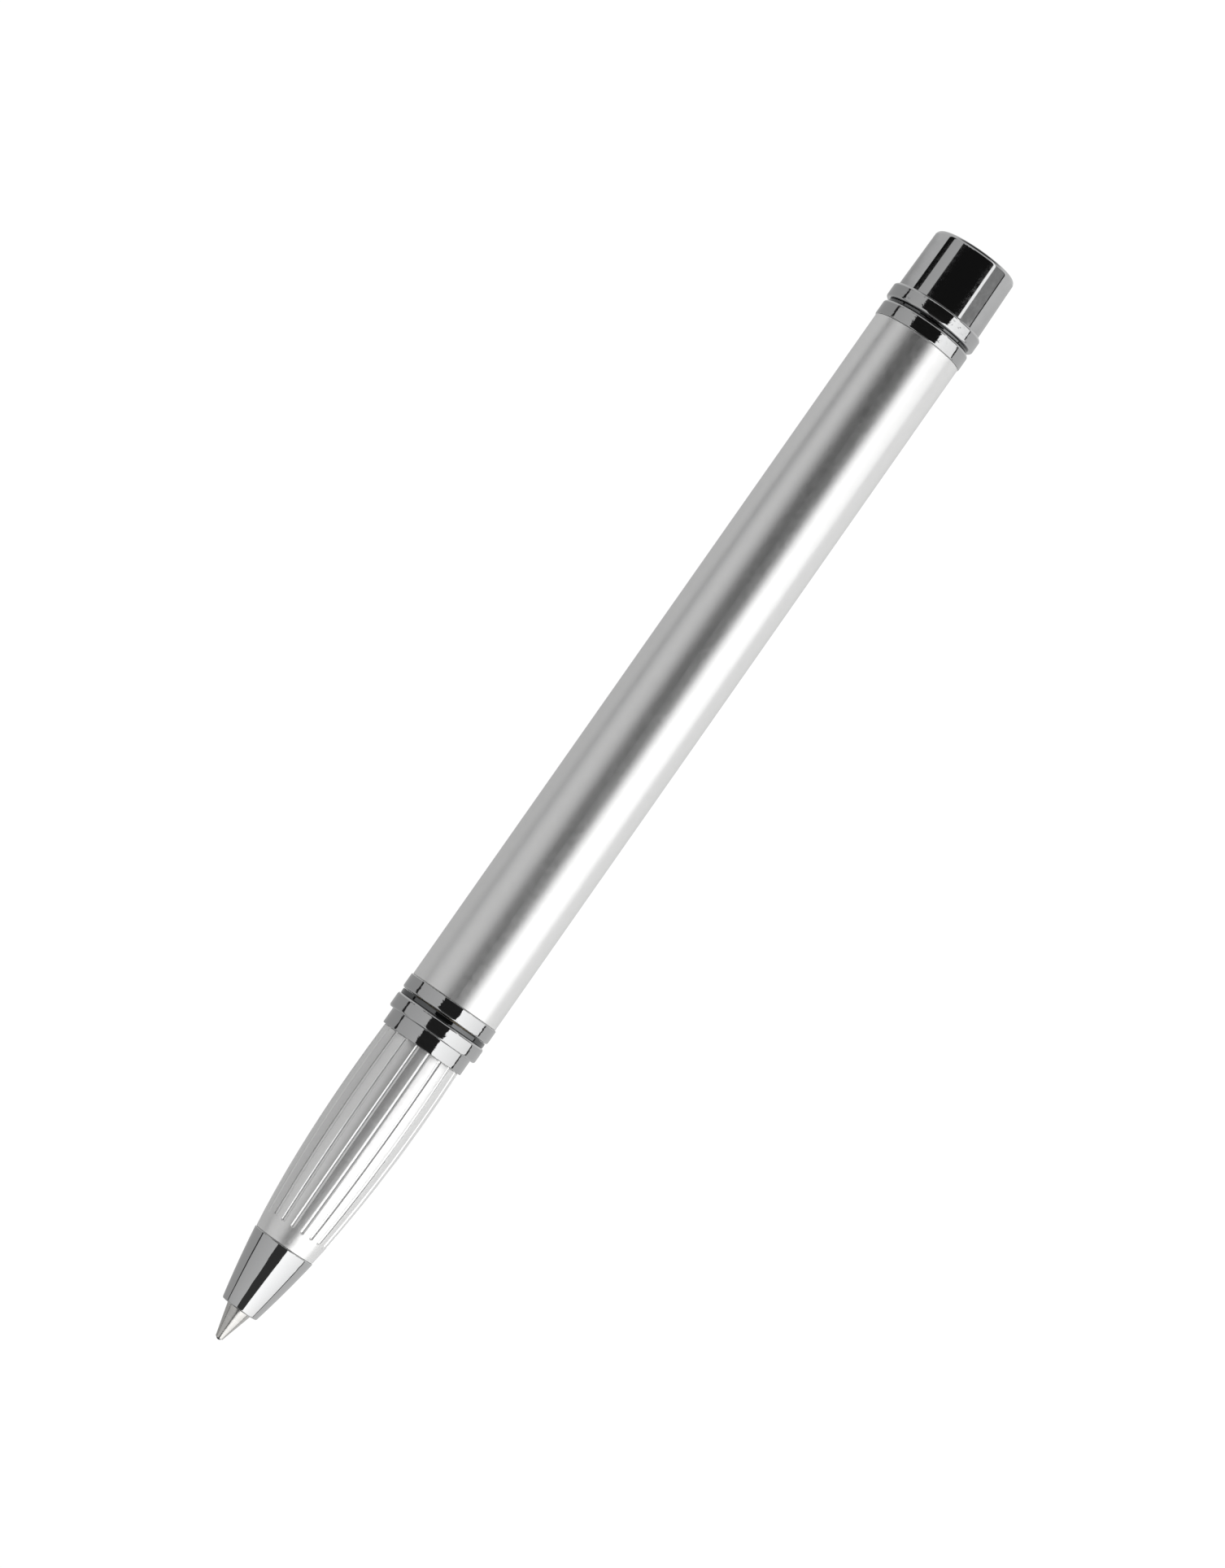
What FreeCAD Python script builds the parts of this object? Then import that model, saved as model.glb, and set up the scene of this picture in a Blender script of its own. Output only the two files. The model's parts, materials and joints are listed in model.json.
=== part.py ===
import FreeCAD, Part

# Rollerball pen with its cap off: a parametric FreeCAD model, in millimetres.
#
# The pen lies along X with its ball at the -X end, on the plane Z = 0. Every piece is drawn in
# its own coordinates: X counts from the front of the ball towards the end knob, along the
# pen's axis. Its placement then centres the pen on X = 0 and lifts it onto the plane.

import math
import os
import re

import Sketcher

# Driving dimensions. Stations are distances from the front of the ball along the pen's axis.
STATIONS = {
    "overall": 132.70,
    "lip_front": 0.20,
    "socket_rear": 0.60,
    "ink_bore_front": 0.74,
    "feed_front": 1.60,
    "nose_front": 3.69,
    "tip_cone_end": 3.85,
    "bush_front": 4.70,
    "bush_rear": 7.70,
    "nozzle_front": 7.80,
    "tip_rear": 11.00,
    "grip_front": 11.44,
    "flute_front": 13.63,
    "nose_rear": 15.50,
    "core_front": 16.00,
    "refill_shoulder": 17.00,
    "refill_tube_front": 18.50,
    "core_step": 20.50,
    "nozzle_rear": 22.50,
    "grip_apex": 29.50,
    "feed_rear": 30.00,
    "collar_front": 35.24,
    "flange_front": 36.96,
    "neck_front": 38.68,
    "section_face": 39.22,
    "barrel_face": 39.25,
    "seal_station": 39.80,
    "seal_seat_rear": 40.30,
    "relief_front": 40.85,
    "barrel_front": 40.88,
    "section_thread_start": 41.25,
    "relief_rear": 41.65,
    "thread_bush_front": 42.40,
    "core_rear": 49.00,
    "thread_bush_rear": 49.40,
    "reservoir_rear": 105.00,
    "plug_front": 106.00,
    "refill_tube_rear": 109.50,
    "refill_rear": 110.50,
    "cup_front": 113.00,
    "spring_seat": 115.50,
    "cup_rear": 116.00,
    "tail_hole_front": 117.40,
    "knob_thread_start": 117.75,
    "tail_thread_front": 118.10,
    "stud_front": 118.30,
    "rear_ring_front": 119.50,
    "barrel_rear": 122.07,
    "stud_relief": 122.80,
    "tail_bush_rear": 123.25,
    "rear_ring_face": 123.75,
    "knob_face": 123.78,
    "knob_ring_front": 124.14,
    "knob_front": 125.78,
    "stud_rear": 130.30,
}
RADII = {
    "axis_height": 5.215,
    "ball_radius": 0.35,
    "lip_radius": 0.41,
    "lip_bore": 0.34,
    "socket_bore": 0.37,
    "ink_bore": 0.15,
    "feed_radius": 0.40,
    "tip_spigot": 1.10,
    "tip_radius": 1.42,
    "nozzle_radius": 2.10,
    "refill_bore": 2.65,
    "refill_radius": 3.05,
    "nose_front_radius": 2.04,
    "bush_radius": 1.90,
    "nose_bore": 2.25,
    "nose_spigot": 2.90,
    "nose_rear_radius": 3.46,
    "grip_crest": 4.52,
    "core_bore": 3.15,
    "core_front_radius": 3.40,
    "seal_seat": 3.45,
    "core_radius": 3.75,
    "section_thread": 3.98,
    "collar_radius": 4.69,
    "neck_radius": 4.96,
    "flange_radius": 5.16,
    "front_ring_bore": 4.21,
    "front_ring_radius": 5.13,
    "liner_bore": 3.50,
    "barrel_bore": 4.50,
    "barrel_radius": 5.00,
    "cup_bore": 2.90,
    "spring_radius": 2.30,
    "knob_thread": 2.00,
    "washer_radius": 3.60,
    "rear_ring_bore": 3.70,
    "rear_ring_radius": 5.10,
    "knob_neck_radius": 4.75,
    "knob_spigot": 3.98,
    "knob_ring_radius": 5.215,
    "knob_root_radius": 4.845,
    "knob_end_radius": 4.71,
}
DETAILS = {
    "glue_gap": 0.02,
    "running_gap": 0.05,
    "thread_gap": 0.06,
    "ring_round": 0.27,
    "fine_round": 0.10,
    "nose_round": 0.18,
    "knob_round": 0.53,
    "lead_in": 0.45,
    "nose_arc": 108.0,
    "grip_reach": 27.1,
    "flute_arc": 143.0,
    "flute_cutter": 0.30,
    "flute_depth": 0.10,
    "seal_wire": 0.33,
    "washer_thickness": 0.40,
    "spring_wire": 0.18,
    "spring_turns": 7,
    "section_pitch": 0.75,
    "knob_pitch": 0.70,
}
DIMENSIONS = {**STATIONS, **RADII, **DETAILS}
ON_AXIS = "0"
GRIP_ELLIPSE = "grip_ellipse"
FLUTE_COUNT = 20
FIRST_FLUTE_ANGLE = -5.5

# A metric thread: its depth and the widths of its groove, as shares of the pitch.
THREAD_DEPTH = 0.541
HALF_ROOT = 0.125
HALF_MOUTH = 0.4375
FLANK_PLAY = 0.02
CUTTER_EXCESS = 0.1
FLANK_SLOPE = math.tan(math.radians(30))

doc = FreeCAD.newDocument("RollerballPen")
sizes = doc.addObject("Spreadsheet::Sheet", "Sizes")
for row, (name, number) in enumerate(DIMENSIONS.items(), 1):
    sizes.set(f"A{row}", name)
    sizes.set(f"B{row}", str(number))
    sizes.setAlias(f"B{row}", name)
doc.recompute()
parts = []


def bound(formula):
    """The formula with each dimension's name turned into a reference to its cell."""
    def reference(word):
        name = word.group(0)
        return "Sizes." + name if name in DIMENSIONS else name

    return re.sub(r"[a-z_]+", reference, formula)


def value(formula):
    """The number that a formula gives."""
    result = sizes.evalExpression(bound(formula))
    return float(getattr(result, "Value", result))


def arch(station):
    """The radius of the grip's long elliptical outside at a station."""
    return f"grip_crest * sqrt(1 - ((grip_apex - {station}) / grip_reach) ^ 2)"


def place(item, station=ON_AXIS):
    """Moves a piece that is drawn on the pen's axis to where it lies."""
    item.setExpression("Placement.Base.x", bound(f"{station} - overall / 2"))
    item.setExpression("Placement.Base.z", bound("axis_height"))
    parts.append(item)
    return item


def new_body(label):
    """An empty body that lies where the pen lies."""
    body = doc.addObject("PartDesign::Body", label)
    body.Label = label
    return place(body)


def origin_item(body, role):
    """One of the body's own planes or axes."""
    return next(item for item in body.Origin.OriginFeatures if item.Role == role)


def new_sketch(body, name):
    """An empty sketch on the body's XZ plane: stations across and radii up."""
    sketch = body.newObject("Sketcher::SketchObject", name)
    sketch.AttachmentSupport = [(origin_item(body, "XZ_Plane"), "")]
    sketch.MapMode = "FlatFace"
    return sketch


def arc_between(start, end, radius):
    """The arc from start to end that bulges away from the axis."""
    chord = end - start
    drop = math.sqrt(radius**2 - (chord.Length / 2) ** 2)
    inward = FreeCAD.Vector(chord.y, -chord.x, 0).normalize()
    centre = (start + end) / 2 + inward * drop
    circle = Part.Circle(centre, FreeCAD.Vector(0, 0, 1), radius)
    return Part.ArcOfCircle(circle, circle.parameter(end), circle.parameter(start))


def grip_arc(start, end):
    """The part of the grip's ellipse that runs from start to end."""
    centre = FreeCAD.Vector(value("grip_apex"), 0, 0)
    ellipse = Part.Ellipse(centre, value("grip_reach"), value("grip_crest"))
    return Part.ArcOfEllipse(ellipse, ellipse.parameter(end), ellipse.parameter(start))


def constrain(sketch, kind, *arguments):
    """Adds a constraint whose last argument is a formula, bound to the sheet."""
    *geometry, formula = arguments
    index = sketch.addConstraint(Sketcher.Constraint(kind, *geometry, value(formula)))
    sketch.setExpression(f"Constraints[{index}]", bound(formula))


def pin(sketch, geometry, end, station, radius):
    """Holds a point of the sketch at a station and a radius."""
    constrain(sketch, "DistanceX", -1, 1, geometry, end, station)
    if radius == ON_AXIS:
        sketch.addConstraint(Sketcher.Constraint("PointOnObject", geometry, end, -1))
    else:
        constrain(sketch, "DistanceY", -1, 1, geometry, end, radius)


def outline(body, name, corners):
    """A closed sketch through the corners, each a station and a radius. Where a corner has a
    third formula, an arc of that radius leads to the next corner in place of a line, and where
    that formula is GRIP_ELLIPSE, the grip's ellipse does."""
    sketch = new_sketch(body, name)
    points = [FreeCAD.Vector(value(corner[0]), value(corner[1]), 0) for corner in corners]
    ends = []
    for index, corner in enumerate(corners):
        start = points[index]
        end = points[(index + 1) % len(points)]
        curved = len(corner) == 3
        if not curved:
            sketch.addGeometry(Part.LineSegment(start, end))
        elif corner[2] == GRIP_ELLIPSE:
            sketch.addGeometry(grip_arc(start, end))
        else:
            sketch.addGeometry(arc_between(start, end, value(corner[2])))
        ends.append((2, 1) if curved else (1, 2))
    for index in range(len(corners)):
        following = (index + 1) % len(corners)
        joined = (index, ends[index][1], following, ends[following][0])
        sketch.addConstraint(Sketcher.Constraint("Coincident", *joined))
    for index, corner in enumerate(corners):
        pin(sketch, index, ends[index][0], corner[0], corner[1])
        if len(corner) < 3:
            continue
        if corner[2] == GRIP_ELLIPSE:
            pin(sketch, index, 3, "grip_apex", ON_AXIS)
            sketch.exposeInternalGeometry(index)
            sketch.addConstraint(Sketcher.Constraint("Horizontal", len(corners)))
        else:
            constrain(sketch, "Radius", index, corner[2])
    return sketch


def turned(label, corners):
    """A body turned about the pen's axis from one closed outline."""
    body = new_body(label)
    sketch = outline(body, label + "_outline", corners)
    turn = body.newObject("PartDesign::Revolution", label + "_turn")
    turn.Profile = sketch
    turn.ReferenceAxis = (sketch, ["H_Axis"])
    turn.Angle = 360
    doc.recompute()
    return body


def round_rims(body, size, *rims):
    """Rounds the circular edges that lie at the given stations and radii."""
    base = body.Tip
    places = [(value(station), value(radius)) for station, radius in rims]
    names = []
    for number, edge in enumerate(base.Shape.Edges, 1):
        if not isinstance(edge.Curve, Part.Circle):
            continue
        for station, radius in places:
            aligned = abs(edge.Curve.Center.x - station) < 0.01
            if aligned and abs(edge.Curve.Radius - radius) < 0.01:
                names.append(f"Edge{number}")
    if len(names) != len(places):
        raise RuntimeError(f"{body.Label}: {len(names)} of {len(places)} rims found")
    rounding = body.newObject("PartDesign::Fillet", f"{body.Label}_{size}")
    rounding.Base = (base, names)
    rounding.setExpression("Radius", bound(size))
    doc.recompute()


def cut_thread(body, corners, pitch, length):
    """Cuts the outlined groove along a right-hand helix about the pen's axis."""
    before = body.Tip.Shape.Volume
    groove = outline(body, body.Label + "_groove", corners)
    helix = body.newObject("PartDesign::SubtractiveHelix", body.Label + "_thread")
    helix.Profile = groove
    helix.ReferenceAxis = (groove, ["H_Axis"])
    helix.Mode = "pitch-height-angle"
    helix.setExpression("Pitch", bound(pitch))
    helix.setExpression("Height", bound(length))
    doc.recompute()
    if not body.Tip.Shape.Volume < before:
        raise RuntimeError(f"{body.Label}: the thread cut nothing")


def cut_male_thread(body, crest, pitch, start, end):
    """Threads the outside of a cylinder of radius crest."""
    root = f"{crest} - {THREAD_DEPTH} * {pitch}"
    half_root = f"{HALF_ROOT} * {pitch} + {FLANK_PLAY}"
    half_mouth = f"{HALF_MOUTH} * {pitch} + {FLANK_PLAY + CUTTER_EXCESS * FLANK_SLOPE}"
    corners = [
        (f"{start} - ({half_root})", root),
        (f"{start} + {half_root}", root),
        (f"{start} + {half_mouth}", f"{crest} + {CUTTER_EXCESS}"),
        (f"{start} - ({half_mouth})", f"{crest} + {CUTTER_EXCESS}"),
    ]
    cut_thread(body, corners, pitch, f"{end} - {start}")


def female_bore(crest, pitch):
    """The bore that is left for the female thread of a screw of radius crest."""
    return f"{crest} + thread_gap - {THREAD_DEPTH} * {pitch}"


def cut_female_thread(body, crest, pitch, start, end):
    """Threads a bore for a screw of radius crest, half a pitch from the screw's groove."""
    half_root = f"{0.5 - HALF_MOUTH} * {pitch}"
    half_mouth = f"{0.5 - HALF_ROOT} * {pitch} + {CUTTER_EXCESS * FLANK_SLOPE}"
    bore = f"{female_bore(crest, pitch)} - {CUTTER_EXCESS}"
    corners = [
        (f"{start} - ({half_mouth})", bore),
        (f"{start} + {half_mouth}", bore),
        (f"{start} + {half_root}", f"{crest} + thread_gap"),
        (f"{start} - {half_root}", f"{crest} + thread_gap"),
    ]
    cut_thread(body, corners, pitch, f"{end} - ({start})")


def cut_flute(body, number, angle):
    """One flute, cut along the grip by a ball-nosed cutter that swings on a long arc. The
    angle is measured round the pen from straight up."""
    top = "(grip_crest + flute_cutter - flute_depth)"
    hub = f"({top} - flute_arc)"
    section = body.newObject("Sketcher::SketchObject", f"flute_section_{number}")
    section.AttachmentSupport = [(origin_item(body, "YZ_Plane"), "")]
    section.MapMode = "FlatFace"
    turn = FreeCAD.Rotation(FreeCAD.Vector(0, 0, 1), angle)
    section.AttachmentOffset = FreeCAD.Placement(FreeCAD.Vector(), turn)
    section.setExpression("AttachmentOffset.Base.z", bound("grip_apex"))
    centre = FreeCAD.Vector(0, value(top), 0)
    section.addGeometry(Part.Circle(centre, FreeCAD.Vector(0, 0, 1), value("flute_cutter")))
    section.addConstraint(Sketcher.Constraint("PointOnObject", 0, 3, -2))
    constrain(section, "DistanceY", -1, 1, 0, 3, top)
    constrain(section, "Radius", 0, "flute_cutter")
    ends = [FreeCAD.Vector(across, value(hub), 0) for across in (0, 1)]
    axis = section.addGeometry(Part.LineSegment(*ends), True)
    section.addConstraint(Sketcher.Constraint("Horizontal", axis))
    section.addConstraint(Sketcher.Constraint("PointOnObject", axis, 1, -2))
    constrain(section, "DistanceY", -1, 1, axis, 1, hub)
    section.addConstraint(Sketcher.Constraint("DistanceX", axis, 1, axis, 2, 1.0))

    flute = body.newObject("PartDesign::Groove", f"flute_{number}")
    flute.Profile = section
    flute.ReferenceAxis = (section, ["Axis0"])
    flute.Type = "TwoAngles"
    flute.setExpression("Angle", bound("asin((flange_front - grip_apex) / flute_arc)"))
    flute.setExpression("Angle2", bound("asin((grip_apex - flute_front) / flute_arc)"))
    doc.recompute()

    start = body.newObject("PartDesign::SubtractiveSphere", f"flute_start_{number}")
    start.setExpression("Radius", bound("flute_cutter"))
    start.setExpression("Placement.Base.x", bound("flute_front"))
    height = f"({hub} + sqrt(flute_arc ^ 2 - (grip_apex - flute_front) ^ 2))"
    start.setExpression("Placement.Base.y", bound(f"-{height} * sin({angle} * 1deg)"))
    start.setExpression("Placement.Base.z", bound(f"{height} * cos({angle} * 1deg)"))
    doc.recompute()


def fluted_grip():
    """The bulging grip: a shell with a long elliptical outside, fluted all round."""
    body = turned("grip_shell", [
        ("grip_front", arch("grip_front"), GRIP_ELLIPSE),
        ("collar_front", arch("collar_front")),
        ("collar_front", "core_radius + glue_gap"),
        ("core_step", "core_radius + glue_gap"),
        ("core_step", "core_front_radius + glue_gap"),
        ("nose_rear", "core_front_radius + glue_gap"),
        ("nose_rear", "nose_spigot + glue_gap"),
        ("grip_front", "nose_spigot + glue_gap"),
    ])
    rims = [(end, arch(end)) for end in ("grip_front", "collar_front")]
    round_rims(body, "fine_round", *rims)
    plain = body.Tip.Shape.Volume
    for number in range(FLUTE_COUNT):
        cut_flute(body, number, FIRST_FLUTE_ANGLE + number * 360.0 / FLUTE_COUNT)
        before, plain = plain, body.Tip.Shape.Volume
        if not plain < before:
            raise RuntimeError(f"grip_shell: flute {number} cut nothing")


def coil_spring():
    """The spring that keeps the refill forward."""
    body = new_body("refill_spring")
    section = new_sketch(body, "spring_section")
    middle = FreeCAD.Vector(value("refill_rear + spring_wire"), value("spring_radius"), 0)
    section.addGeometry(Part.Circle(middle, FreeCAD.Vector(0, 0, 1), value("spring_wire")))
    pin(section, 0, 3, "refill_rear + spring_wire", "spring_radius")
    constrain(section, "Radius", 0, "spring_wire")
    coil = body.newObject("PartDesign::AdditiveHelix", "spring_coil")
    coil.Profile = section
    coil.ReferenceAxis = (section, ["H_Axis"])
    coil.Mode = "height-turns-angle"
    coil.setExpression("Height", bound("spring_seat - refill_rear - 2 * spring_wire"))
    coil.setExpression("Turns", bound("spring_turns"))
    doc.recompute()


def groove_ring(label, front, rear, outside, inside):
    """The dark ring that fills the groove between two chromed rings."""
    ring = turned(label, [
        (front, outside),
        (rear, outside),
        (rear, f"{inside} + glue_gap"),
        (front, f"{inside} + glue_gap"),
    ])
    round_rims(ring, "fine_round", (front, outside), (rear, outside))


def section():
    """The front part that unscrews: nose, grip, threaded core and chromed collar."""
    nose = turned("nose_cone", [
        ("nose_front", "nose_front_radius", "nose_arc"),
        ("grip_front", "nose_rear_radius"),
        ("grip_front", "nose_spigot"),
        ("nose_rear", "nose_spigot"),
        ("nose_rear", "nose_bore"),
        ("bush_rear", "nose_bore"),
        ("bush_rear", "bush_radius + glue_gap"),
        ("bush_front", "bush_radius + glue_gap"),
        ("bush_front", "tip_radius + 2 * running_gap"),
        ("nose_front", "tip_radius + 2 * running_gap"),
    ])
    round_rims(nose, "nose_round", ("nose_front", "nose_front_radius"))
    round_rims(nose, "fine_round", ("grip_front", "nose_rear_radius"))

    turned("nose_bush", [
        ("bush_front", "bush_radius"),
        ("bush_rear", "bush_radius"),
        ("bush_rear", "tip_radius + running_gap"),
        ("bush_front", "tip_radius + running_gap"),
    ])

    fluted_grip()

    core = turned("section_core", [
        ("core_front", "core_front_radius"),
        ("core_step", "core_front_radius"),
        ("core_step", "core_radius"),
        ("section_face", "core_radius"),
        ("section_face", "seal_seat"),
        ("seal_seat_rear", "seal_seat"),
        ("seal_seat_rear", "core_radius"),
        ("relief_front", "core_radius"),
        ("relief_front", "seal_seat + 2 * running_gap"),
        ("relief_rear", "seal_seat + 2 * running_gap"),
        ("relief_rear", "section_thread"),
        ("core_rear - lead_in", "section_thread"),
        ("core_rear", "section_thread - lead_in"),
        ("core_rear", "core_bore"),
        ("refill_shoulder", "core_bore"),
        ("refill_shoulder", "nose_bore"),
        ("core_front", "nose_bore"),
    ])
    thread = ("section_thread", "section_pitch")
    cut_male_thread(core, *thread, "section_thread_start", "(core_rear + lead_in)")

    sleeve = turned("collar_sleeve", [
        ("collar_front", "collar_radius"),
        ("flange_front", "collar_radius"),
        ("flange_front", "core_radius + glue_gap"),
        ("collar_front", "core_radius + glue_gap"),
    ])
    round_rims(sleeve, "fine_round", ("collar_front", "collar_radius"))

    ring = turned("collar_ring", [
        ("flange_front", "flange_radius"),
        ("neck_front", "flange_radius"),
        ("neck_front", "core_radius + glue_gap"),
        ("flange_front", "core_radius + glue_gap"),
    ])
    rims = [(end, "flange_radius") for end in ("flange_front", "neck_front")]
    round_rims(ring, "ring_round", *rims)

    groove_ring("collar_groove_ring", "neck_front", "section_face", "neck_radius", "core_radius")

    seal = doc.addObject("Part::Torus", "section_o_ring")
    seal.Label = "section_o_ring"
    seal.setExpression("Radius1", bound("seal_seat + running_gap + seal_wire"))
    seal.setExpression("Radius2", bound("seal_wire"))
    across = FreeCAD.Rotation(FreeCAD.Vector(0, 1, 0), 90)
    seal.Placement = FreeCAD.Placement(FreeCAD.Vector(), across)
    place(seal, "seal_station")


def barrel():
    """The long barrel with the pieces that are glued or pressed into it."""
    tube = turned("barrel_tube", [
        ("barrel_front", "barrel_radius"),
        ("barrel_rear", "barrel_radius"),
        ("barrel_rear", "barrel_bore"),
        ("barrel_front", "barrel_bore"),
    ])
    rims = [(end, "barrel_radius") for end in ("barrel_front", "barrel_rear")]
    round_rims(tube, "fine_round", *rims)

    ring = turned("barrel_front_ring", [
        ("barrel_face", "front_ring_radius"),
        ("barrel_front", "front_ring_radius"),
        ("barrel_front", "barrel_bore - glue_gap"),
        ("thread_bush_front", "barrel_bore - glue_gap"),
        ("thread_bush_front", "front_ring_bore"),
        ("barrel_face", "front_ring_bore"),
    ])
    round_rims(ring, "ring_round", ("barrel_face", "front_ring_radius"))
    round_rims(ring, "fine_round", ("barrel_front", "front_ring_radius"))

    thread = ("section_thread", "section_pitch")
    bush = turned("barrel_thread_bush", [
        ("thread_bush_front", "barrel_bore - glue_gap"),
        ("thread_bush_rear", "barrel_bore - glue_gap"),
        ("thread_bush_rear", female_bore(*thread)),
        ("thread_bush_front", female_bore(*thread)),
    ])
    start = "section_thread_start + 0.5 * section_pitch"
    cut_female_thread(bush, *thread, start, "(thread_bush_rear + lead_in)")

    turned("barrel_liner", [
        ("thread_bush_rear", "barrel_bore - glue_gap"),
        ("cup_front", "barrel_bore - glue_gap"),
        ("cup_front", "liner_bore"),
        ("thread_bush_rear", "liner_bore"),
    ])

    turned("spring_cup", [
        ("cup_front", "barrel_bore - glue_gap"),
        ("cup_rear", "barrel_bore - glue_gap"),
        ("cup_rear", ON_AXIS),
        ("spring_seat", ON_AXIS),
        ("spring_seat", "cup_bore"),
        ("cup_front", "cup_bore"),
    ])

    coil_spring()

    ring = turned("barrel_rear_ring", [
        ("barrel_rear", "rear_ring_radius"),
        ("rear_ring_face", "rear_ring_radius"),
        ("rear_ring_face", "rear_ring_bore"),
        ("rear_ring_front", "rear_ring_bore"),
        ("rear_ring_front", "barrel_bore - glue_gap"),
        ("barrel_rear", "barrel_bore - glue_gap"),
    ])
    round_rims(ring, "fine_round", ("barrel_rear", "rear_ring_radius"))
    round_rims(ring, "ring_round", ("rear_ring_face", "rear_ring_radius"))

    thread = ("knob_thread", "knob_pitch")
    bush = turned("tail_bush", [
        ("cup_rear", "barrel_bore - glue_gap"),
        ("rear_ring_front", "barrel_bore - glue_gap"),
        ("rear_ring_front", "rear_ring_bore - glue_gap"),
        ("tail_bush_rear", "rear_ring_bore - glue_gap"),
        ("tail_bush_rear", female_bore(*thread)),
        ("tail_thread_front", female_bore(*thread)),
        ("tail_thread_front", "knob_thread + 2 * thread_gap"),
        ("tail_hole_front", "knob_thread + 2 * thread_gap"),
        ("tail_hole_front", ON_AXIS),
        ("cup_rear", ON_AXIS),
    ])
    start = "knob_thread_start + 0.5 * knob_pitch"
    cut_female_thread(bush, *thread, start, "(tail_bush_rear + lead_in)")


def refill():
    """The refill: steel tip and ball, nozzle, tube, ink feed, ink reservoir and end plug."""
    turned("refill_tip", [
        ("lip_front", "lip_radius"),
        ("tip_cone_end", "tip_radius"),
        ("nozzle_front", "tip_radius"),
        ("nozzle_front", "tip_spigot"),
        ("tip_rear", "tip_spigot"),
        ("tip_rear", "feed_radius + glue_gap"),
        ("feed_front", "feed_radius + glue_gap"),
        ("feed_front", "ink_bore"),
        ("ink_bore_front", "ink_bore"),
        ("socket_rear", "socket_bore"),
        ("ball_radius", "socket_bore"),
        ("lip_front", "lip_bore"),
    ])

    ball = doc.addObject("Part::Sphere", "writing_ball")
    ball.Label = "writing_ball"
    ball.setExpression("Radius", bound("ball_radius"))
    place(ball, "ball_radius")

    turned("refill_nozzle", [
        ("nozzle_front", "nozzle_radius"),
        ("refill_shoulder", "nozzle_radius"),
        ("refill_shoulder", "refill_radius"),
        ("refill_tube_front", "refill_radius"),
        ("refill_tube_front", "refill_bore - glue_gap"),
        ("nozzle_rear", "refill_bore - glue_gap"),
        ("nozzle_rear", "feed_radius + glue_gap"),
        ("tip_rear", "feed_radius + glue_gap"),
        ("tip_rear", "tip_spigot + glue_gap"),
        ("nozzle_front", "tip_spigot + glue_gap"),
    ])

    turned("ink_feed", [
        ("feed_front", "feed_radius"),
        ("feed_rear", "feed_radius"),
        ("feed_rear", ON_AXIS),
        ("feed_front", ON_AXIS),
    ])

    turned("ink_reservoir", [
        ("nozzle_rear", "refill_bore - glue_gap"),
        ("reservoir_rear", "refill_bore - glue_gap"),
        ("reservoir_rear", ON_AXIS),
        ("feed_rear", ON_AXIS),
        ("feed_rear", "feed_radius + glue_gap"),
        ("nozzle_rear", "feed_radius + glue_gap"),
    ])

    tube = turned("refill_tube", [
        ("refill_tube_front", "refill_radius"),
        ("refill_tube_rear", "refill_radius"),
        ("refill_tube_rear", "refill_bore"),
        ("refill_tube_front", "refill_bore"),
    ])
    round_rims(tube, "fine_round", ("refill_tube_rear", "refill_radius"))

    plug = turned("refill_end_plug", [
        ("plug_front", "refill_bore - glue_gap"),
        ("refill_tube_rear", "refill_bore - glue_gap"),
        ("refill_tube_rear", "refill_radius"),
        ("refill_rear", "refill_radius"),
        ("refill_rear", ON_AXIS),
        ("plug_front", ON_AXIS),
    ])
    round_rims(plug, "ring_round", ("refill_rear", "refill_radius"))


def knob():
    """The end knob, where the cap is posted, with its ring, its screw and its washer."""
    cap_seat = turned("end_knob", [
        ("knob_face", "knob_spigot"),
        ("knob_front", "knob_spigot"),
        ("knob_front", "knob_root_radius"),
        ("overall", "knob_end_radius"),
        ("overall", ON_AXIS),
        ("stud_rear", ON_AXIS),
        ("stud_rear", "knob_thread + glue_gap"),
        ("knob_face", "knob_thread + glue_gap"),
    ])
    round_rims(cap_seat, "knob_round", ("overall", "knob_end_radius"))

    ring = turned("knob_ring", [
        ("knob_ring_front", "knob_ring_radius"),
        ("knob_front", "knob_ring_radius"),
        ("knob_front", "knob_spigot + glue_gap"),
        ("knob_ring_front", "knob_spigot + glue_gap"),
    ])
    rims = [(end, "knob_ring_radius") for end in ("knob_ring_front", "knob_front")]
    round_rims(ring, "ring_round", *rims)

    ends = ("knob_face", "knob_ring_front")
    groove_ring("knob_groove_ring", *ends, "knob_neck_radius", "knob_spigot")

    screw = turned("tail_screw", [
        ("stud_front", "knob_thread - lead_in"),
        ("stud_front + lead_in", "knob_thread"),
        ("stud_relief", "knob_thread"),
        ("stud_relief", "knob_thread - lead_in"),
        ("knob_face", "knob_thread - lead_in"),
        ("knob_face", "knob_thread"),
        ("stud_rear", "knob_thread"),
        ("stud_rear", ON_AXIS),
        ("stud_front", ON_AXIS),
    ])
    thread = ("knob_thread", "knob_pitch")
    cut_male_thread(screw, *thread, "knob_thread_start", "(stud_relief + 0.5 * knob_pitch)")

    turned("knob_washer", [
        ("knob_face - washer_thickness", "washer_radius"),
        ("knob_face", "washer_radius"),
        ("knob_face", "knob_thread + running_gap"),
        ("knob_face - washer_thickness", "knob_thread + running_gap"),
    ])


section()
barrel()
refill()
knob()
doc.recompute()

os.makedirs("parts", exist_ok=True)
for item in doc.Objects:
    if {"Invalid", "Error"} & set(item.State):
        raise RuntimeError(f"{item.Label} did not recompute")
for item in parts:
    if item.Shape.isNull() or not item.Shape.isValid():
        raise RuntimeError(f"{item.Label} has no valid shape")
    item.Shape.exportStep(f"parts/{item.Label}.step")
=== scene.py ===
import json
import math

import bpy
from mathutils import Matrix, Vector


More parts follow.
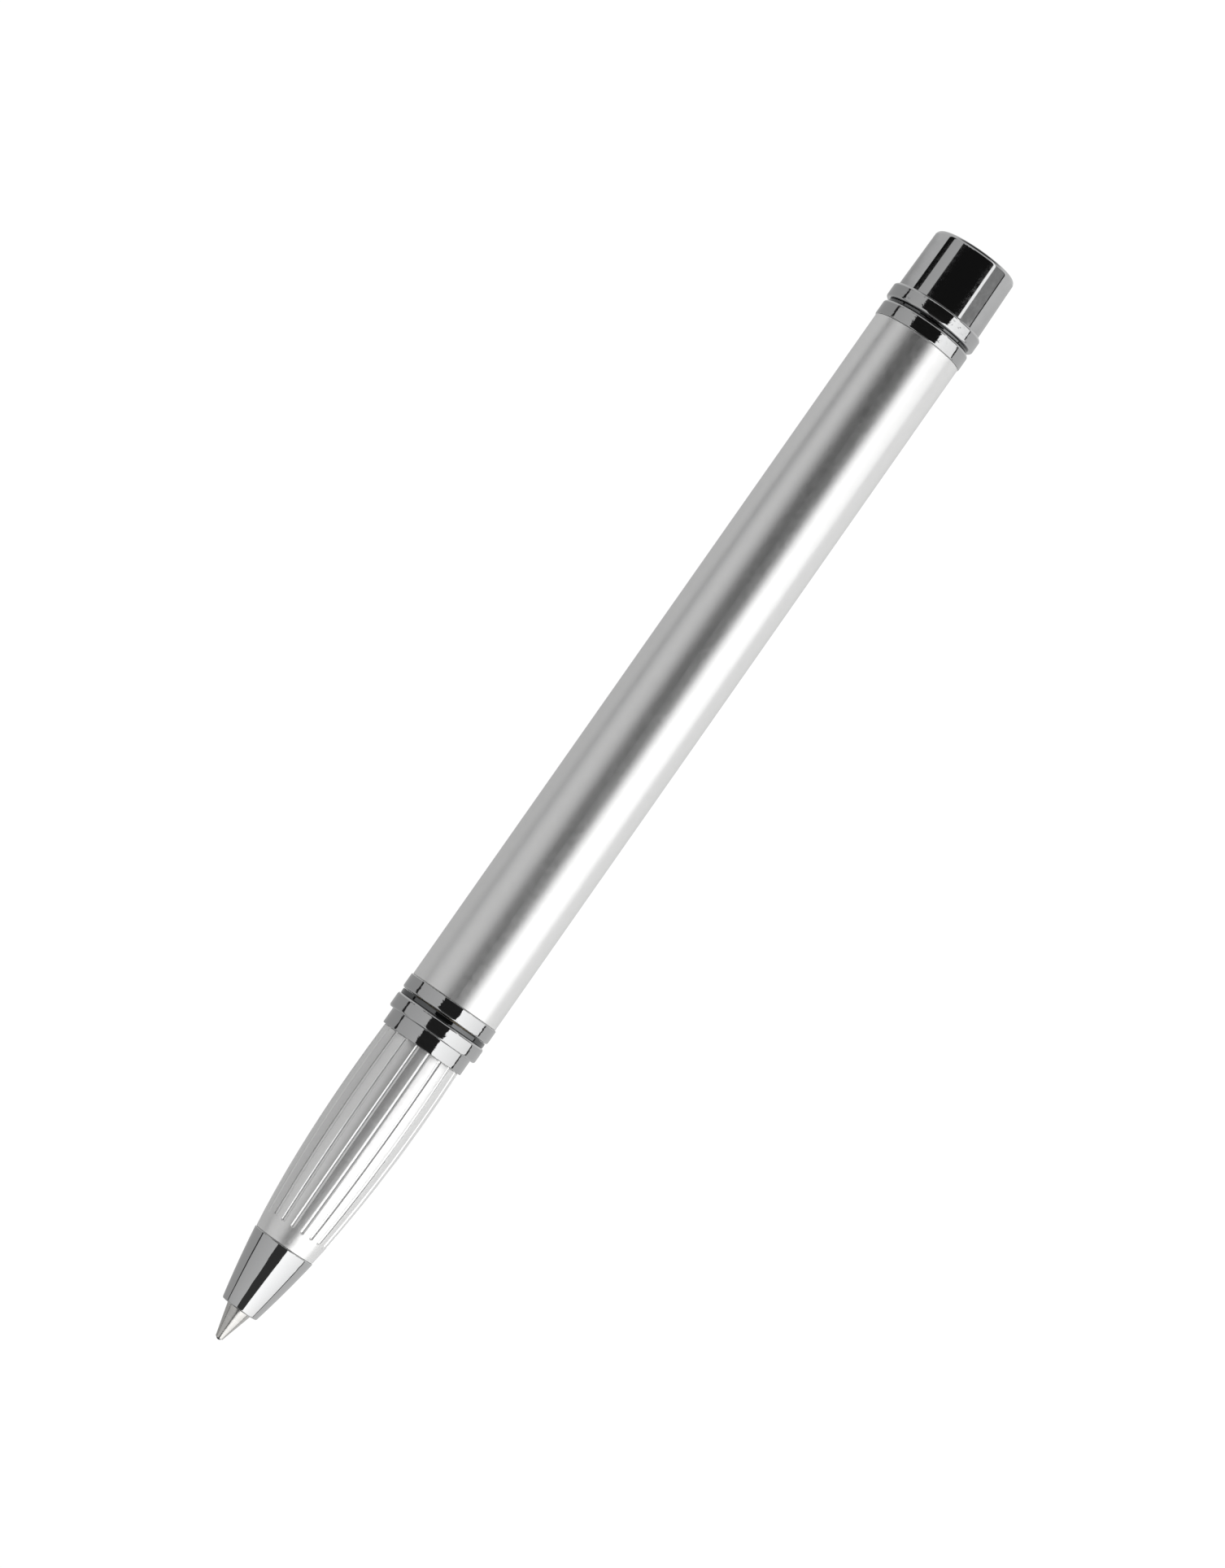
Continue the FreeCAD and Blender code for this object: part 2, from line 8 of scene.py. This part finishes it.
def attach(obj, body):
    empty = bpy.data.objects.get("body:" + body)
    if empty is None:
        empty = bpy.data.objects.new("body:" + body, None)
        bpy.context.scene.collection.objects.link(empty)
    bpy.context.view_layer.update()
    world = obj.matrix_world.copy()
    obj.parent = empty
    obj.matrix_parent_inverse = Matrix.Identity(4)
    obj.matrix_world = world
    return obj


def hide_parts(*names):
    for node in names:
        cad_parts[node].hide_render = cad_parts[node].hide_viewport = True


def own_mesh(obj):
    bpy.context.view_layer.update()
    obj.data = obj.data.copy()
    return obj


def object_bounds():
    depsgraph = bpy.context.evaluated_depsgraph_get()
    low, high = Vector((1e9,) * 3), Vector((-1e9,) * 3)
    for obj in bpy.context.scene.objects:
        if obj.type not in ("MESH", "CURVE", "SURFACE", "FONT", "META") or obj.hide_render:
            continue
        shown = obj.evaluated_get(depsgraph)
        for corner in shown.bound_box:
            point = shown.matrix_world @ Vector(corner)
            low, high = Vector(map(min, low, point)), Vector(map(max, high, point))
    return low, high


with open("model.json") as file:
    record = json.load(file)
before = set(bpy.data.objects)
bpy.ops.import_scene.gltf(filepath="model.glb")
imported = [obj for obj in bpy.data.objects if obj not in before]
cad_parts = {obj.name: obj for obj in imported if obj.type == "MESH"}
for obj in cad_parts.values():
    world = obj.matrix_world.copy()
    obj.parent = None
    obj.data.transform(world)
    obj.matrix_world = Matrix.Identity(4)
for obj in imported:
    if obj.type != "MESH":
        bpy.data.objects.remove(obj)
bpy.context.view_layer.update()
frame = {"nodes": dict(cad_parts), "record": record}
record = frame["record"]

# Lengths are in metres and angles in degrees. Round the pen, an angle is measured from
# straight up, and grows towards the side that the key light is on, which is -Y.
SENSOR = 36.0
LENS = 121.4
CAMERA_DISTANCE = 0.530
CAMERA_TILT = 3.4
PEN_SLOPE_IN_VIEW = 54.98
LOOK_AT_PAST_CENTRE = 0.00153
LOOK_AT_TO_KEY_SIDE = 0.00045

# The studio's light. A level goes evenly from its first value to its second over its span:
# over an angle for the panels, and from the fill side to the key side for the floor. The
# gap's level goes from off the nose to off the back.
FILL_SPAN = (-90.0, -20.0)
FILL_LEVEL = (0.50, 0.60)
KEY_SPAN = (30.0, 98.0)
KEY_LEVEL = (1.60, 1.26)
FLOOR_SPAN = (-0.6, 0.6)
FLOOR_LEVEL = (0.41, 0.65)
FLOOR_LEVEL_PAST_END = (0.66, 0.80)
GAP_SPAN = (-0.45, 0.20)
GAP_LEVEL = (0.050, 0.010)
SHADE_LEVEL = 0.29
BEYOND_LEVEL = 0.60
FAR_END_LEVEL = 0.06

# Where the light changes round the pen. Each edge shifts along the pen: it has an angle off
# the nose, at the pen's front, at its back, and past the panels' ends.
EDGE_SOFTNESS = 0.9
FILL_EDGE = (-17.5, -21.0, -35.5, -46.0)
FILL_FOOT = (-86.5, -86.5, -84.0, -73.5)
FLOOR_BY_FILL = (-93.0, -93.0, -90.5, -91.0)
KEY_EDGE = (21.5, 26.5, 36.5, 47.5)
KEY_FOOT = (101.0, 98.0, 91.5, 90.0)
FLOOR_BY_KEY = (105.5, 102.5, 96.0, 94.0)
SLIVER_PAST_END = 55.0

# Where it changes along the pen, as the part of a direction that runs along it.
OFF_NOSE = (-0.40, -0.05)
FRONT_TO_BACK = (0.0, 0.165)
PANELS_END = (0.184, 0.196)
BEYOND_BACK = (0.50, 0.56)
BEYOND_FRONT = (-0.76, -0.82)
FAR_ENDS = (0.80, 0.93)

# The floor shows the camera mostly this glow, and the rest is the matt paper with its shadow.
FLOOR_HALF = 2.0
FLOOR_GLOW = 1.13
FLOOR_GLOW_SHARE = 0.86
WHITE = (1.0, 1.0, 1.0, 1.0)

pen_low, pen_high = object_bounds()
AXIS_HEIGHT = (pen_low.z + pen_high.z) / 2


# --- Node helpers -------------------------------------------------------------------------

class Tree:
    """A node tree, with short calls for its nodes. A value is a number or a socket."""

    def __init__(self, tree):
        self.tree = tree
        tree.nodes.clear()

    def feed(self, socket, value):
        if isinstance(value, bpy.types.NodeSocket):
            self.tree.links.new(value, socket)
        else:
            socket.default_value = value

    def node(self, kind, inputs=None, **settings):
        node = self.tree.nodes.new(kind)
        for name, setting in settings.items():
            setattr(node, name, setting)
        for name, value in (inputs or {}).items():
            self.feed(node.inputs[name], value)
        return node

    def math(self, operation, first, second=0.0):
        inputs = {0: first, 1: second}
        return self.node("ShaderNodeMath", inputs, operation=operation).outputs[0]

    def ramp(self, value, start, end, low=0.0, high=1.0, shape="LINEAR"):
        inputs = {"Value": value, "From Min": start, "From Max": end}
        inputs.update({"To Min": low, "To Max": high})
        settings = {"interpolation_type": shape}
        return self.node("ShaderNodeMapRange", inputs, **settings).outputs["Result"]

    def mix(self, factor, first, second):
        """Goes from the first value to the second as factor goes from 0 to 1."""
        node = self.node("ShaderNodeMix", data_type="FLOAT")
        for index, value in enumerate((factor, first, second)):
            self.feed(node.inputs[(0, 2, 3)[index]], value)
        return node.outputs[0]

    def noise(self, scale, detail=2.0, stretch=(1.0, 1.0, 1.0)):
        place = self.node("ShaderNodeTexCoord").outputs["Object"]
        inputs = {"Vector": place, "Scale": stretch}
        stretched = self.node("ShaderNodeMapping", inputs).outputs[0]
        inputs = {"Vector": stretched, "Scale": scale, "Detail": detail}
        return self.node("ShaderNodeTexNoise", inputs).outputs["Fac"]

    def station(self):
        """The place along the pen."""
        place = self.node("ShaderNodeTexCoord").outputs["Object"]
        return self.node("ShaderNodeSeparateXYZ", {"Vector": place}).outputs["X"]

    def tint(self, factor, dark, light):
        """Runs from one colour to the other as factor goes from 0 to 1."""
        mix = self.node("ShaderNodeMix", data_type="RGBA")
        self.feed(mix.inputs[0], factor)
        self.feed(mix.inputs[6], (*dark, 1.0))
        self.feed(mix.inputs[7], (*light, 1.0))
        return mix.outputs[2]


def surface(name, inputs, colour, roughness, bump=None):
    """A material with one principled shader. colour and roughness are functions of the tree
    that give a socket, and bump gives a height socket and its distance."""
    material = bpy.data.materials.new(name)
    material.use_nodes = True
    tree = Tree(material.node_tree)
    shader = tree.node("ShaderNodeBsdfPrincipled", inputs)
    tree.feed(shader.inputs["Base Color"], colour(tree))
    tree.feed(shader.inputs["Roughness"], roughness(tree))
    if bump:
        height, distance = bump(tree)
        inputs = {"Height": height, "Distance": distance, "Strength": 1.0}
        relief = tree.node("ShaderNodeBump", inputs)
        tree.feed(shader.inputs["Normal"], relief.outputs["Normal"])
    output = tree.node("ShaderNodeOutputMaterial")
    tree.feed(output.inputs["Surface"], shader.outputs["BSDF"])
    return material


def put(name, data):
    """Adds an object with this data to the scene."""
    item = bpy.data.objects.new(name, data)
    bpy.context.scene.collection.objects.link(item)
    return item


# --- Materials ----------------------------------------------------------------------------

def satin_metal(name, grey, metallic, roughness):
    """Fine satin silver: a bead-blasted metal with a microscopic grain, a little smoother
    towards the pen's back. A metallic under 1 stands in for the light that a blasted surface
    scatters all ways."""
    dark = (grey - 0.02, grey - 0.02, grey - 0.025)
    light = (grey + 0.02, grey + 0.02, grey + 0.015)
    return surface(
        name,
        {"Metallic": metallic},
        lambda tree: tree.tint(tree.noise(900.0), dark, light),
        lambda tree: tree.math(
            "ADD",
            tree.ramp(tree.station(), pen_low.x, pen_high.x, *roughness),
            tree.ramp(tree.noise(2500.0, 3.0), 0.3, 0.7, -0.03, 0.03),
        ),
    )


def chrome(name, grey, swell=0.0000008):
    """Polished plate: a near mirror, with the slight swell that plating leaves."""
    dark = (grey - 0.015, grey - 0.01, grey - 0.005)
    light = (grey + 0.01, grey + 0.01, grey + 0.01)
    return surface(
        name,
        {"Metallic": 1.0},
        lambda tree: tree.tint(tree.noise(500.0), dark, light),
        lambda tree: tree.ramp(tree.noise(1800.0, 3.0), 0.3, 0.7, 0.035, 0.075),
        lambda tree: (tree.noise(1500.0, 2.0), swell),
    )


def turned_metal(name, dark, light, roughness, ring_depth):
    """Bare metal from a lathe, with fine rings round the pen's axis."""
    across = (1.0, 0.02, 0.02)
    return surface(
        name,
        {"Metallic": 1.0},
        lambda tree: tree.tint(tree.noise(4000.0, 2.0, across), dark, light),
        lambda tree: tree.ramp(
            tree.noise(6000.0, 2.0, across), 0.3, 0.7, roughness - 0.05, roughness + 0.05
        ),
        lambda tree: (tree.noise(9000.0, 2.0, across), ring_depth),
    )


def moulded(name, dark, light, roughness, inputs=None):
    """Moulded plastic or rubber, with a slight mottle."""
    return surface(
        name,
        inputs or {},
        lambda tree: tree.tint(tree.noise(700.0, 3.0), dark, light),
        lambda tree: tree.ramp(
            tree.noise(2500.0), 0.3, 0.7, roughness - 0.05, roughness + 0.05
        ),
        lambda tree: (tree.noise(5000.0, 3.0), 0.000002),
    )


def fibre(name, dark, light):
    """Bonded fibre, drawn out along the pen."""
    along = (0.05, 1.0, 1.0)
    return surface(
        name,
        {"Sheen Weight": 0.2},
        lambda tree: tree.tint(tree.noise(4000.0, 3.0, along), dark, light),
        lambda tree: tree.ramp(tree.noise(3000.0, 2.0, along), 0.3, 0.7, 0.75, 0.9),
        lambda tree: (tree.noise(5000.0, 3.0, along), 0.00001),
    )


FINISHES = {
    "satin_barrel": satin_metal("satin_barrel", 0.98, 0.94, (0.42, 0.30)),
    "satin_grip": satin_metal("satin_grip", 0.98, 0.80, (0.37, 0.37)),
    "chrome_nose": chrome("chrome_nose", 0.58),
    "chrome_rings": chrome("chrome_rings", 0.54, 0.000013),
    "chrome_knob": chrome("chrome_knob", 0.54),
    # dark_chrome is chrome with a very dark base colour: painted shade that stands in for the
    # shade in the grooves between the rings.
    "dark_chrome": chrome("dark_chrome", 0.14),
    "tip_steel": turned_metal(
        "tip_steel", (0.55, 0.54, 0.52), (0.68, 0.67, 0.65), 0.20, 0.0000015
    ),
    "ball_carbide": turned_metal(
        "ball_carbide", (0.20, 0.20, 0.21), (0.30, 0.30, 0.31), 0.12, 0.0000002
    ),
    "turned_brass": turned_metal(
        "turned_brass", (0.70, 0.50, 0.20), (0.84, 0.64, 0.30), 0.28, 0.000002
    ),
    "white_plastic": moulded("white_plastic", (0.78, 0.78, 0.75), (0.86, 0.86, 0.84), 0.45),
    "dark_plastic": moulded("dark_plastic", (0.03, 0.03, 0.035), (0.06, 0.06, 0.065), 0.50),
    "refill_plastic": moulded(
        "refill_plastic", (0.08, 0.09, 0.11), (0.12, 0.13, 0.15), 0.25, {"Coat Weight": 0.3}
    ),
    "ink_fibre": fibre("ink_fibre", (0.015, 0.02, 0.10), (0.04, 0.05, 0.20)),
    "seal_rubber": moulded("seal_rubber", (0.012, 0.012, 0.012), (0.03, 0.03, 0.03), 0.60),
    "spring_steel": turned_metal(
        "spring_steel", (0.52, 0.52, 0.53), (0.66, 0.66, 0.67), 0.25, 0.000001
    ),
}


def finish_nodes():
    """Gives each CAD node the material of its slot in the record."""
    for subpart in record["subparts"]:
        node = frame["nodes"][subpart["node"]]
        node.data.materials.clear()
        node.data.materials.append(FINISHES[subpart["material_slot"]])


# --- Grip ---------------------------------------------------------------------------------

# Lengths here are in mm, with stations from the front of the ball, as in the CAD model.
BALL_FRONT = pen_low.x
GRIP_ENDS = (11.44, 35.24)
GRIP_APEX = 29.50
GRIP_REACH = 27.1
GRIP_CREST = 4.52
GRIP_BORE = [
    (35.24, 3.77), (20.50, 3.77), (20.50, 3.42), (15.50, 3.42), (15.50, 2.92), (11.44, 2.92)
]
END_ROUND = 0.10
FLUTES = 20
FIRST_FLUTE = -5.5
FLUTE_FRONT = 13.63
FLUTE_ARC = 143.0
CUTTER = 0.30
FLUTE_DEPTH = 0.10
CUTTER_TOP = GRIP_CREST + CUTTER - FLUTE_DEPTH

# Stations of the grip's rows: a few before the flutes, many where they run in, then along
# them. A start, a step and a count give each run of rows.
BEFORE_FLUTES = [11.9, 12.5, 13.0]
RUN_IN = (13.30, 0.03, 15)
ALONG_FLUTES = (13.9, 0.71, 30)

# Places across a flute, as shares of its half width, and across half a land.
IN_FLUTE = (0.0, 0.22, 0.44, 0.64, 0.82, 0.94, 1.0, 1.06, 1.2)
ON_LAND = (0.15, 0.45, 0.75)
SHARP_EDGE = 50.0


def grip_radius(station):
    """The grip's long ellipse, with its two ends rounded over."""
    radius = GRIP_CREST * math.sqrt(1 - ((GRIP_APEX - station) / GRIP_REACH) ** 2)
    for end in GRIP_ENDS:
        inside = abs(station - end)
        if inside < END_ROUND:
            radius -= END_ROUND - math.sqrt(END_ROUND**2 - (END_ROUND - inside) ** 2)
    return radius


def cutter_at(station):
    """How far out the cutter's middle lies at a station, and the radius it cuts there."""
    reached = max(station, FLUTE_FRONT)
    height = CUTTER_TOP - FLUTE_ARC + math.sqrt(FLUTE_ARC**2 - (GRIP_APEX - reached) ** 2)
    return height, math.sqrt(max(CUTTER**2 - (reached - station) ** 2, 0.0))


def flute_edge(station):
    """The angle from the middle of a flute to its edge."""
    station = max(station, FLUTE_FRONT)
    height, cutter = cutter_at(station)
    radius = grip_radius(station)
    return math.acos((radius**2 + height**2 - cutter**2) / (2 * radius * height))


def grip_rows():
    """Rows of points round the grip: along its outside, then back through its bore."""
    front, rear = GRIP_ENDS
    turns = [math.radians(angle) for angle in (0, 22.5, 45, 67.5, 90)]
    stations = [front + END_ROUND * (1 - math.cos(turn)) for turn in turns]
    stations += BEFORE_FLUTES
    for start, pitch, count in (RUN_IN, ALONG_FLUTES):
        stations += [start + pitch * step for step in range(count)]
    stations += [rear - END_ROUND * (1 - math.cos(turn)) for turn in reversed(turns)]
    half_pitch = math.pi / FLUTES
    rows = []
    for station in stations:
        edge = flute_edge(min(max(station, front + END_ROUND), rear - END_ROUND))
        land = half_pitch - IN_FLUTE[-1] * edge
        offsets = [share * edge for share in IN_FLUTE]
        offsets += [offsets[-1] + share * land for share in ON_LAND] + [half_pitch]
        offsets = [-offset for offset in offsets[-2:0:-1]] + offsets
        height, cutter = cutter_at(station)
        plain = grip_radius(station)
        row = []
        for flute in range(FLUTES):
            middle = math.radians(FIRST_FLUTE) + 2 * half_pitch * flute
            for offset in offsets:
                radius = plain
                across = height * math.sin(offset)
                if abs(across) < cutter:
                    floor = height * math.cos(offset) - math.sqrt(cutter**2 - across**2)
                    radius = min(plain, floor)
                row.append((station, middle + offset, radius))
        rows.append(row)
    for station, radius in GRIP_BORE:
        rows.append([(station, angle, radius) for _, angle, _ in rows[0]])
    return rows


def fluted_grip():
    """The grip's shell, with a mesh whose points follow the edges of its flutes."""
    rows = grip_rows()
    points = []
    for row in rows:
        for station, angle, radius in row:
            x = BALL_FRONT + station / 1000
            y = -radius * math.sin(angle) / 1000
            points.append((x, y, AXIS_HEIGHT + radius * math.cos(angle) / 1000))
    count = len(rows[0])
    faces = []
    for row in range(len(rows)):
        following = (row + 1) % len(rows)
        for index in range(count):
            beside = (index + 1) % count
            corners = (row, index), (row, beside), (following, beside), (following, index)
            faces.append([line * count + place for line, place in corners])
    mesh = bpy.data.meshes.new("fluted_grip")
    mesh.from_pydata(points, [], faces)
    mesh.shade_smooth()
    mesh.set_sharp_from_angle(angle=math.radians(SHARP_EDGE))
    mesh.materials.append(FINISHES["satin_grip"])
    piece = put("fluted_grip", mesh)
    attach(piece, "section")
    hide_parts("grip_shell")


# --- Spring -------------------------------------------------------------------------------


def pressed_spring():
    """The refill's spring, as a copy of its CAD node with a mesh of its own, carried by the
    barrel.
    """
    node = frame["nodes"]["refill_spring"]
    piece = put("pressed_spring", node.data.copy())
    piece.matrix_world = node.matrix_world
    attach(piece, "barrel")
    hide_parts("refill_spring")
    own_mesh(piece)


# --- Stage --------------------------------------------------------------------------------

def around(tree, direction):
    """The angle round the pen, and the part of the direction that runs along the pen."""
    split = tree.node("ShaderNodeSeparateXYZ", {"Vector": direction}).outputs
    to_key_side = tree.math("MULTIPLY", split["Y"], -1.0)
    turn = tree.math("ARCTAN2", to_key_side, split["Z"])
    return tree.math("DEGREES", turn), split["X"], to_key_side


def rises(tree, angle, edge):
    """0 below an edge and 1 above it."""
    start = tree.math("SUBTRACT", edge, EDGE_SOFTNESS)
    end = tree.math("ADD", edge, EDGE_SOFTNESS)
    return tree.ramp(angle, start, end, shape="SMOOTHSTEP")


def falls(tree, angle, edge):
    """1 below an edge and 0 above it."""
    return tree.math("SUBTRACT", 1.0, rises(tree, angle, edge))


def studio():
    """The soft studio round the pen: a fill panel on one side and a brighter key panel on the
    other, with a dark gap between them overhead that widens towards the back of the pen. The
    panels' far ends are what the end knob mirrors, and beyond the gap it is pale again."""
    world = bpy.data.worlds.new("studio")
    bpy.context.scene.world = world
    world.use_nodes = True
    tree = Tree(world.node_tree)
    direction = tree.node("ShaderNodeTexCoord").outputs["Generated"]
    angle, along, to_key_side = around(tree, direction)
    past_end = tree.ramp(along, *PANELS_END)

    def edge(angles):
        """Where an edge lies in this direction."""
        off_nose, front, back, past = angles
        ahead = tree.ramp(along, *OFF_NOSE, off_nose, front)
        within = tree.ramp(along, *FRONT_TO_BACK, 0.0, back - front)
        return tree.mix(past_end, tree.math("ADD", ahead, within), past)

    fill = tree.math("MULTIPLY", rises(tree, angle, edge(FILL_FOOT)),
                     falls(tree, angle, edge(FILL_EDGE)))
    fill = tree.math("MULTIPLY", fill, tree.ramp(angle, *FILL_SPAN, *FILL_LEVEL))
    key = tree.math("MULTIPLY", rises(tree, angle, edge(KEY_EDGE)),
                    falls(tree, angle, edge(KEY_FOOT)))
    bright = tree.ramp(angle, *KEY_SPAN, *KEY_LEVEL)
    shaded = tree.mix(rises(tree, angle, SLIVER_PAST_END), bright, SHADE_LEVEL)
    key = tree.math("MULTIPLY", key, tree.mix(past_end, bright, shaded))

    below = tree.math("MAXIMUM", falls(tree, angle, edge(FLOOR_BY_FILL)),
                      rises(tree, angle, edge(FLOOR_BY_KEY)))
    near = tree.ramp(to_key_side, *FLOOR_SPAN, *FLOOR_LEVEL)
    past = tree.ramp(to_key_side, *FLOOR_SPAN, *FLOOR_LEVEL_PAST_END)
    below = tree.math("MULTIPLY", below, tree.mix(past_end, near, past))

    light = tree.math("ADD", tree.math("ADD", fill, key), below)
    beyond = tree.math("ADD", tree.ramp(along, *BEYOND_BACK), tree.ramp(along, *BEYOND_FRONT))
    light = tree.math("MAXIMUM", light, tree.math("MULTIPLY", beyond, BEYOND_LEVEL))
    ends = tree.ramp(tree.math("ABSOLUTE", along), *FAR_ENDS, 1.0, FAR_END_LEVEL)
    gap = tree.ramp(along, *GAP_SPAN, *GAP_LEVEL)
    light = tree.math("ADD", tree.math("MULTIPLY", light, ends), gap)
    seen = tree.node("ShaderNodeLightPath").outputs["Is Camera Ray"]
    lit = tree.node("ShaderNodeBackground", {"Color": WHITE, "Strength": light})
    pale = tree.node("ShaderNodeBackground", {"Color": WHITE})
    shown = tree.node("ShaderNodeMixShader", {0: seen})
    tree.feed(shown.inputs[1], lit.outputs[0])
    tree.feed(shown.inputs[2], pale.outputs[0])
    output = tree.node("ShaderNodeOutputWorld")
    tree.feed(output.inputs["Surface"], shown.outputs[0])


def pale_floor():
    """A plain pale sheet under the pen, which shows a light shadow."""
    half = FLOOR_HALF
    corners = [(-half, -half, 0), (half, -half, 0), (half, half, 0), (-half, half, 0)]
    mesh = bpy.data.meshes.new("floor")
    mesh.from_pydata(corners, [], [(0, 1, 2, 3)])
    floor = put("floor", mesh)
    floor.visible_glossy = False

    material = bpy.data.materials.new("floor")
    material.use_nodes = True
    tree = Tree(material.node_tree)
    paper = tree.tint(tree.noise(40.0, 4.0), (0.80, 0.80, 0.80), (0.84, 0.84, 0.84))
    matt = tree.node("ShaderNodeBsdfDiffuse", {"Color": paper})
    glow = tree.node("ShaderNodeEmission", {"Color": WHITE, "Strength": FLOOR_GLOW})
    seen = tree.node("ShaderNodeLightPath").outputs["Is Camera Ray"]
    share = tree.math("MULTIPLY", seen, FLOOR_GLOW_SHARE)
    mixed = tree.node("ShaderNodeMixShader", {0: share})
    tree.feed(mixed.inputs[1], matt.outputs[0])
    tree.feed(mixed.inputs[2], glow.outputs[0])
    output = tree.node("ShaderNodeOutputMaterial")
    tree.feed(output.inputs["Surface"], mixed.outputs[0])
    mesh.materials.append(material)


def camera():
    """Looks down on the pen, which runs up to the right with its back a little further off."""
    tilt = math.radians(CAMERA_TILT)
    slope = math.radians(PEN_SLOPE_IN_VIEW)
    back = Vector((-math.sin(tilt), 0.0, math.cos(tilt)))
    along = Vector((math.cos(tilt), 0.0, math.sin(tilt)))
    across = Vector((0.0, -1.0, 0.0))
    right = along * math.cos(slope) + across * math.sin(slope)
    up = along * math.sin(slope) - across * math.cos(slope)
    target = Vector((LOOK_AT_PAST_CENTRE, -LOOK_AT_TO_KEY_SIDE, AXIS_HEIGHT))

    lens = bpy.data.cameras.new("camera")
    lens.lens = LENS
    lens.sensor_width = SENSOR
    lens.clip_start = 0.01
    lens.clip_end = 20.0
    item = put("camera", lens)
    place = Matrix((right, up, back)).transposed().to_4x4()
    place.translation = target + back * CAMERA_DISTANCE
    item.matrix_world = place
    bpy.context.scene.camera = item


finish_nodes()
fluted_grip()
pressed_spring()
studio()
pale_floor()
camera()
bpy.context.scene.view_settings.view_transform = "Standard"
